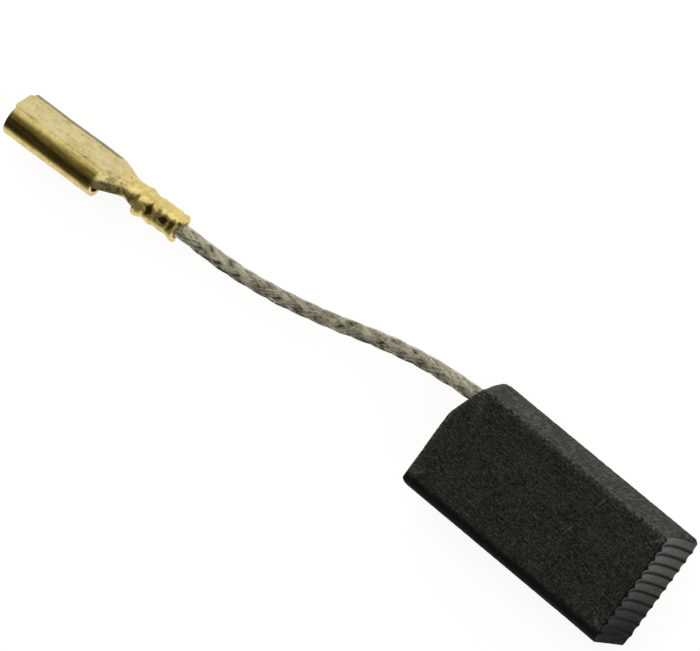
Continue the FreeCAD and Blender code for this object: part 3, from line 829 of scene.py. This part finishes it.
def braid_surface(line_points, shape):
    """Every wire of the braid as a thin five-sided tube.

    A bundle c that runs round at pitch p has the angle 2 pi (s/p + c/n), and the other way round the same
    with -s. Two-over, two-under: its height is a cos(pi/2 (2 n s/p + 2c) - pi/4), and the other way round
    the negative of it with 2c - 2 n s/p. A wire lies beside the bundle's middle by its own share of the
    width, and the bundle is crowned by that share squared. Slow random waves keep it from being regular.
    The marks are each wire's own tone, how deep it lies, for the painted shade in the gaps, and how much it
    faces -Y, for the painted shade on that side.
    """
    s, line, _, side, up = even_stations(line_points, WIRE_STEP)
    n, m = shape.carriers, shape.wires
    radius = shape.wire_diameter / 2
    middle = LEAD_DIAMETER / 2 - radius - BUNDLE_RISE
    turn = 2 * math.pi * s / shape.pitch
    crossing = 2 * n * s / shape.pitch
    lean = math.cos(math.atan(2 * math.pi * middle / shape.pitch))
    width = 2 * math.pi * middle / n * lean * BUNDLE_FILL
    rng = np.random.default_rng(8)

    def wave(height, short, long):
        """A slow wave along the lead, of random length and phase."""
        return height * np.sin(s / rng.uniform(short, long) + rng.uniform(0, LAST_PHASE))

    angles, distances, strands, depths = [], [], [], []
    for way in (1, -1):
        for c in range(n):
            base = way * turn + 2 * math.pi * c / n + wave(*BUNDLE_SWAY)
            phase = math.pi / 2 * (2 * c + way * crossing) - math.pi / 4
            height = way * BUNDLE_RISE * np.cos(phase) + wave(*BUNDLE_SWELL)
            for k in range(m):
                share = (k - (m - 1) / 2) / max(m - 1, 1)
                offset = share * width + wave(*WIRE_SWAY)
                angles.append(base + offset / middle / lean)
                crown = BUNDLE_CROWN * (2 * share) ** 2
                distances.append(middle + height - crown + rng.uniform(-WIRE_UNEVENNESS, WIRE_UNEVENNESS))
                strands.append(rng.uniform())
                # How deep the wire lies, which sets the painted shade in the gaps.
                depth = 0.42 - height / (2 * BUNDLE_RISE) * 0.95 + (2 * share) ** 4 * 0.4
                depths.append(np.clip(depth, 0, 1))
    angle = np.array(angles)
    outward = np.cos(angle)[..., None] * side + np.sin(angle)[..., None] * up
    middle_line = line + np.array(distances)[..., None] * outward
    along = np.gradient(middle_line, axis=1)
    along /= np.linalg.norm(along, axis=-1, keepdims=True)
    across = np.cross(along, outward)
    across /= np.linalg.norm(across, axis=-1, keepdims=True)
    normal = np.cross(across, along)
    t = (np.arange(WIRE_SIDES) * 2 * math.pi / WIRE_SIDES)[:, None]
    spokes = np.cos(t) * normal[:, :, None] + np.sin(t) * across[:, :, None]
    ring = middle_line[:, :, None] + radius * spokes
    wires, rows = ring.shape[:2]
    faces = []
    for number in range(wires):
        faces += tube_faces(rows, WIRE_SIDES, number * rows * WIRE_SIDES)
    marks = {
        "strand": np.repeat(np.array(strands), rows * WIRE_SIDES),
        "depth": np.repeat(np.array(depths), WIRE_SIDES),
        "under": np.repeat(smooth(0.2, 0.9, np.cos(angle)), WIRE_SIDES),
    }
    return ring.reshape(-1, 3), faces, marks


def core_surface(line_points, radius):
    """A plain round tube along the same line."""
    _, line, _, side, up = even_stations(line_points, CORE_STEP)
    t = (np.arange(CORE_SIDES) * 2 * math.pi / CORE_SIDES)[:, None]
    ring = line[:, None] + radius * (np.cos(t) * side[:, None] + np.sin(t) * up[:, None])
    return ring.reshape(-1, 3), tube_faces(len(line), CORE_SIDES)


# The receptacle


def sheet_section(v, flat, radius, curl, first, second):
    """A bent strip's cross-section at the arc length v from its middle: flat, a bend, then a tighter bend.

    Returns across, up and the tangent's angle. Curvature is 0 to flat, 1/radius through the angle first,
    1/curl through the angle second and 0 again, and the place is its integral.
    """
    a = np.abs(v)
    s1 = np.clip(a - flat, 0, radius * first)
    s2 = np.clip(a - flat - radius * first, 0, curl * second)
    s3 = np.maximum(a - flat - radius * first - curl * second, 0)
    t1, t2 = s1 / radius, s2 / curl
    y = np.minimum(a, flat) + radius * np.sin(t1)
    z = radius * (1 - np.cos(t1))
    y += curl * (np.sin(t2) * np.cos(first) - (1 - np.cos(t2)) * np.sin(first))
    z += curl * (np.sin(t2) * np.sin(first) + (1 - np.cos(t2)) * np.cos(first))
    y += s3 * np.cos(first + second)
    z += s3 * np.sin(first + second)
    return np.sign(v) * y, z, t1 + t2


def through(u, stations, values):
    """A smooth curve through values at stations: Hermite pieces whose slopes are the central differences."""
    stations, values = np.array(stations), np.array(values, float)
    slopes = np.gradient(values, stations)
    slopes[0] = slopes[-1] = 0.0
    k = np.clip(np.searchsorted(stations, u) - 1, 0, len(stations) - 2)
    h = stations[k + 1] - stations[k]
    t = np.clip((u - stations[k]) / h, 0, 1)
    a = (1 + 2 * t) * (1 - t) ** 2 * values[k] + t**2 * (3 - 2 * t) * values[k + 1]
    return a + h * (t * (1 - t) ** 2 * slopes[k] - t**2 * (1 - t) * slopes[k + 1])


def sheet_marks(u, v, dent_shade):
    """Where the sheet has painted shade in its dents and painted dark reflection on its rolls and neck, or is
    worked or creased, from 0 to 1, by place on the flat sheet.
    """
    side = np.abs(v)
    on_rolls = smooth(7.6, 7.2, u)
    creases = np.exp(-(((v + 0.72) / 0.035) ** 2)) + np.exp(-(((v - 0.86) / 0.035) ** 2))
    return {
        "dent_shade": dent_shade,
        "roll_reflection": smooth(0.92, 1.42, side) * smooth(2.42, 2.14, side) * on_rolls,
        "neck": smooth(7.4, 7.9, u) * smooth(10.5, 10.0, u) * smooth(0.3, 0.7, v),
        "worked": np.maximum(smooth(8.0, 9.6, u), smooth(0.8, 1.0, side) * on_rolls),
        "rim": smooth(-0.86, -0.98, v) * on_rolls,
        "crease": creases * on_rolls,
    }


def crimp_swell(u, v, inner, pit_depth):
    """How far the sheet stands out by ripples, the crimp's dents and its bulges, and how much painted shade
    each dent gets.

    A dent is -depth exp(-q^2), q = ((u - u0)/w)^2 + ((|v| - v0)/s)^2 times 1 + c noise. A bulge is
    exp(-((u - u0)/w)^2) beside the sheet's middle.
    """
    flat_place = np.stack([u, v, 0 * u], -1)
    worked = smooth(ROLLS_TO + 0.1, ROLLS_TO + 1.0, u)
    swell = SHEET_RIPPLE * ripple(flat_place, 2.6, seed=21)
    swell += WORKED_RIPPLE * worked * ripple(flat_place, 1.1, seed=22)
    uneven = 1 + DENT_UNEVENNESS * np.clip(ripple(flat_place, 0.5, seed=23), -1, 1)
    dent_shade = np.zeros(v.shape)
    for place, share, wide in DENTS:
        reach = ((u - BARREL_FROM - place) / wide) ** 2 + ((np.abs(v) - DENT_ACROSS) / DENT_SPREAD) ** 2
        dent = np.exp(-((reach * uneven) ** 2))
        swell = swell - pit_depth * share * dent
        dent_shade = np.maximum(dent_shade, share * smooth(0.12, 0.6, dent))
    bulge = sum(share * np.exp(-(((u - BARREL_FROM - place) / wide) ** 2)) for place, share, wide in BULGES)
    bulge = bulge * np.where(np.abs(v) > inner, 1.0, smooth(BARREL_FROM - 0.15, BARREL_FROM + 0.25, u))
    swell = swell + BULGE_HEIGHT * bulge * smooth(0.3, 0.75, np.abs(v)) * (u >= BARREL_FROM - 0.2)
    return swell, dent_shade


def receptacle_surface(shape):
    """The folded sheet's middle surface, from the tongue's front edge to the carrier stub.

    Rows run along the terminal and columns across the flat blank. Inner columns exist all along; outer ones
    only where the side rolls and the crimp's wings are, so each of those ends in a clean step. The place is
    sheet_section of the arc length across the blank, moved outwards by crimp_swell.
    """
    rows = [np.linspace(start, end, count)[:-1] for start, end, count in ROW_STRETCHES]
    rows = np.concatenate([*rows, [TERMINAL_END]])
    u = rows[:, None]
    flat = through(u, NECK_AT, NECK_FLAT)
    barrel = through(u, np.linspace(BARREL_FROM, BARREL_TO, len(BARREL_RADIUS)), BARREL_RADIUS)
    radius = np.where(u < BARREL_FROM, through(u, NECK_AT, NECK_RADIUS), barrel)
    rise = through(u, NECK_AT, NECK_RISE)
    inner = np.where(u < ROLLS_TO, SHOULDER, through(u, INNER_AT, INNER_HALF))
    rounded = TONGUE_ROUNDING * (1 - np.sqrt(np.clip(1 - (1 - u / ROLLS_FROM) ** 2, 0, 1)))
    tongue = np.where(u < ROLLS_FROM, TONGUE_HALF_WIDTH - rounded, TONGUE_HALF_WIDTH * inner / SHOULDER)
    curl_end = PLATE_HALF + ROLL_RADIUS * math.pi + CURL_RADIUS * math.pi / 2 + CURL_EDGE
    outer = np.where(u < BARREL_FROM, curl_end, flat + radius * WING_TURN)
    middle = np.linspace(-1, 1, TONGUE_COLUMNS)[None, :]
    shoulders = np.linspace(0, 1, SHOULDER_COLUMNS)[None, 1:]
    wing = np.linspace(0, 1, WING_COLUMNS)[None, 1:]
    half = np.concatenate([tongue + (inner - tongue) * shoulders, inner + (outer - inner) * wing], 1)
    v = np.concatenate([-half[:, ::-1], tongue * middle, half], 1)
    # Behind the rolls the first bend never ends, so the barrel is one arc up to its edge.
    first_bend = np.where(u <= ROLLS_TO + SLACK, math.pi, 4 * math.pi)
    y, z, angle = sheet_section(v, flat, radius, CURL_RADIUS, first_bend, math.pi / 2)
    u = np.broadcast_to(u, v.shape)
    swell, dent_shade = crimp_swell(u, v, inner, shape.pit_depth)
    y = y + np.sign(v) * np.sin(angle) * swell
    z = z + SHEET / 2 + rise - np.cos(angle) * swell
    faces = np.array(grid_faces(*v.shape)).reshape(v.shape[0] - 1, v.shape[1] - 1, 4)
    rolls = (rows >= ROLLS_FROM - SLACK) & (rows <= ROLLS_TO + SLACK)
    wings = (rows >= BARREL_FROM - SLACK) & (rows <= BARREL_TO + SLACK)
    has_outer = ((rolls[:-1] & rolls[1:]) | (wings[:-1] & wings[1:]))[:, None]
    has_shoulders = u[1:, :1] > ROLLS_FROM + SLACK
    from_edge = np.arange(v.shape[1] - 1)
    from_edge = np.minimum(from_edge, from_edge[::-1])[None, :]
    keep = (from_edge >= half.shape[1]) | ((from_edge >= wing.shape[1]) & has_shoulders) | has_outer
    points = np.stack([u, y, z], -1).reshape(-1, 3)
    return points, faces[keep], np.stack([u, v], -1).reshape(-1, 2), sheet_marks(u, v, dent_shade)


def to_terminal_place(points):
    """Turns points of the terminal's own frame (base down, mouth at the origin) to where it lies.

    The neck is bent a little sideways, as the crimping left it.
    """
    turn = Matrix.Rotation(math.radians(TERMINAL_YAW), 3, "Z")
    turn = np.array(turn @ Matrix.Rotation(math.radians(90 + TERMINAL_ROLL), 3, "X"))
    placed = points @ turn.T + np.array(TERMINAL_ORIGIN)
    placed[:, 1] += NECK_BEND * smooth(ROLLS_TO, BARREL_FROM + 0.2, points[:, 0])
    return placed


# Operators


class BRUSH_OT_camera(bpy.types.Operator):
    """Adds the camera at the photograph's viewing angle"""

    bl_idname = "brush.camera"
    bl_label = "Add the camera"

    def execute(self, context):
        data = bpy.data.cameras.new("view")
        data.lens = CAMERA_LENS
        data.sensor_width = CAMERA_SENSOR
        data.clip_start, data.clip_end = CAMERA_REACH
        camera = bpy.data.objects.new("view", data)
        turn = Matrix((CAMERA_RIGHT, CAMERA_UP, CAMERA_BACK)).transposed().to_4x4()
        camera.matrix_world = Matrix.Translation(CAMERA_AT) @ turn
        context.scene.collection.objects.link(camera)
        context.scene.camera = camera
        return {"FINISHED"}


class BRUSH_OT_lead(bpy.types.Operator):
    """Adds the braided lead on its route, wire by wire, and the dark core inside it, which paints the shade in
    its gaps
    """

    bl_idname = "brush.lead"
    bl_label = "Add the braided lead"

    def execute(self, context):
        scene = context.scene
        line = route_points()
        vertices, faces, marks = braid_surface(line / MM, scene.brush_shape)
        braid = new_piece("braided_lead", vertices, faces, marks)
        braid.data.materials.append(braid_material(scene.brush_look))
        vertices, faces = core_surface(line / MM, LEAD_DIAMETER / 2 - CORE_INSET)
        core = new_piece("braid_core_shade", vertices, faces)
        core.data.materials.append(core_shade_material())
        for piece in (braid, core):
            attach(piece, "root")
        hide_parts("shunt_wire")
        scene["lead_line"] = line.ravel().tolist()
        return {"FINISHED"}


class BRUSH_OT_receptacle(bpy.types.Operator):
    """Adds the stamped, rolled and crimped brass receptacle"""

    bl_idname = "brush.receptacle"
    bl_label = "Add the receptacle"

    def execute(self, context):
        scene = context.scene
        points, faces, flat, marks = receptacle_surface(scene.brush_shape)
        used, faces = np.unique(faces, return_inverse=True)
        marks = {key: values.ravel()[used] for key, values in marks.items()}
        piece = new_piece("brass_receptacle", to_terminal_place(points[used]), faces.reshape(-1, 4).tolist(),
                          marks, flat[used] / SHEET_UV_SIZE)
        sheet = piece.modifiers.new("sheet", "SOLIDIFY")
        sheet.thickness = SHEET * MM
        sheet.offset = 0.0
        sheet.use_even_offset = True
        edge = piece.modifiers.new("edge", "BEVEL")
        edge.width = SHEET_EDGE * MM
        edge.segments = 2
        edge.limit_method = "ANGLE"
        edge.angle_limit = math.radians(50)
        edge.harden_normals = True
        piece.data.materials.append(brass_material(scene.brush_look))
        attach(piece, "root")
        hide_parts("receptacle")
        return {"FINISHED"}


class BRUSH_OT_block(bpy.types.Operator):
    """Adds the pressed graphite block with its flutes, bevel and worn edges"""

    bl_idname = "brush.block"
    bl_label = "Add the graphite block"

    def execute(self, context):
        scene = context.scene
        points, wear, plain = block_surface(scene.brush_shape)
        faces = grid_faces(*wear.shape, True)
        marks = block_marks(points, wear, plain)
        piece = new_piece("graphite_block", points.reshape(-1, 3), faces, marks, merge=0.004)
        piece.data.materials.append(graphite_material(scene.brush_look))
        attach(piece, "root")
        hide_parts("carbon_block")
        return {"FINISHED"}


class BRUSH_OT_powder(bpy.types.Operator):
    """Adds the rough patch of tamped powder round the foot of the lead"""

    bl_idname = "brush.powder"
    bl_label = "Add the tamped powder"

    def execute(self, context):
        scene = context.scene
        distance = np.linspace(0.05, HOLE_RADIUS, POWDER_RINGS)[:, None]
        angle = (np.arange(POWDER_SIDES) * 2 * math.pi / POWDER_SIDES)[None, :]
        y = HOLE_AT[0] + distance * np.cos(angle)
        z = HOLE_AT[1] + distance * np.sin(angle)
        rough = POWDER_ROUGHNESS * ripple(np.stack([y, z, 0 * y], -1), 0.3, seed=5)
        rise = POWDER_RISE + rough * (1 - distance / HOLE_RADIUS)
        rise -= POWDER_SINK * smooth(POWDER_RIM, HOLE_RADIUS, distance)
        x = bevel_plane(y, z) - rise
        back = np.stack([np.full(POWDER_SIDES, POWDER_BACK), y[-1], z[-1]], -1)[None]
        points = np.concatenate([np.stack([x, y, z], -1), back])
        faces = tube_faces(POWDER_RINGS + 1, POWDER_SIDES)
        piece = new_piece("tamped_powder", points.reshape(-1, 3), faces, merge=0.0005)
        piece.data.materials.append(powder_material(scene.brush_look))
        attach(piece, "root")
        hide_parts("tamping_plug")
        return {"FINISHED"}


class BRUSH_OT_stage(bpy.types.Operator):
    """Adds the white table, the soft lamps and the room's even light"""

    bl_idname = "brush.stage"
    bl_label = "Add the table and lamps"

    def execute(self, context):
        scene = context.scene
        mesh = bpy.data.meshes.new("table")
        far = TABLE_HALF
        mesh.from_pydata([(-far, -far, 0), (far, -far, 0), (far, far, 0), (-far, far, 0)], [], [(0, 1, 2, 3)])
        table = bpy.data.objects.new("table", mesh)
        scene.collection.objects.link(table)
        mesh.materials.append(floor_material(scene.brush_look))
        for name, place, width, power in LAMPS:
            data = bpy.data.lights.new(name, "AREA")
            data.shape = "SQUARE"
            data.size = width
            data.energy = power
            lamp = bpy.data.objects.new(name, data)
            back = np.array(place) - LAMP_TARGET
            back /= np.linalg.norm(back)
            side = np.cross((0.0, 0.0, 1.0), back)
            side /= np.linalg.norm(side)
            turn = Matrix([side, np.cross(back, side), back]).transposed().to_4x4()
            lamp.matrix_world = Matrix.Translation(place) @ turn
            scene.collection.objects.link(lamp)
        scene.world = room_light()
        scene.view_settings.view_transform = "Standard"
        return {"FINISHED"}


class BRUSH_PT_panel(bpy.types.Panel):
    """Lists the pieces and their sizes"""

    bl_label = "Carbon brush"
    bl_space_type = "VIEW_3D"
    bl_region_type = "UI"
    bl_category = "Brush"

    def draw(self, context):
        for group in (context.scene.brush_shape, context.scene.brush_look):
            for name in group.__annotations__:
                self.layout.prop(group, name)
        for operator in OPERATORS:
            self.layout.operator(operator.bl_idname)


OPERATORS = (
    BRUSH_OT_camera,
    BRUSH_OT_lead,
    BRUSH_OT_receptacle,
    BRUSH_OT_block,
    BRUSH_OT_powder,
    BRUSH_OT_stage,
)
CLASSES = (BrushShape, BrushLook, *OPERATORS, BRUSH_PT_panel)


def register():
    """Adds the classes and the two groups of settings to Blender."""
    for cls in CLASSES:
        bpy.utils.register_class(cls)
    bpy.types.Scene.brush_shape = PointerProperty(type=BrushShape)
    bpy.types.Scene.brush_look = PointerProperty(type=BrushLook)


def unregister():
    """Takes the settings and the classes out again."""
    del bpy.types.Scene.brush_shape
    del bpy.types.Scene.brush_look
    for cls in reversed(CLASSES):
        bpy.utils.unregister_class(cls)


def main():
    """Registers the classes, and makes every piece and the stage."""
    register()
    bpy.ops.brush.camera()
    bpy.ops.brush.lead()
    bpy.ops.brush.receptacle()
    bpy.ops.brush.block()
    bpy.ops.brush.powder()
    bpy.ops.brush.stage()


if __name__ == "__main__":
    main()
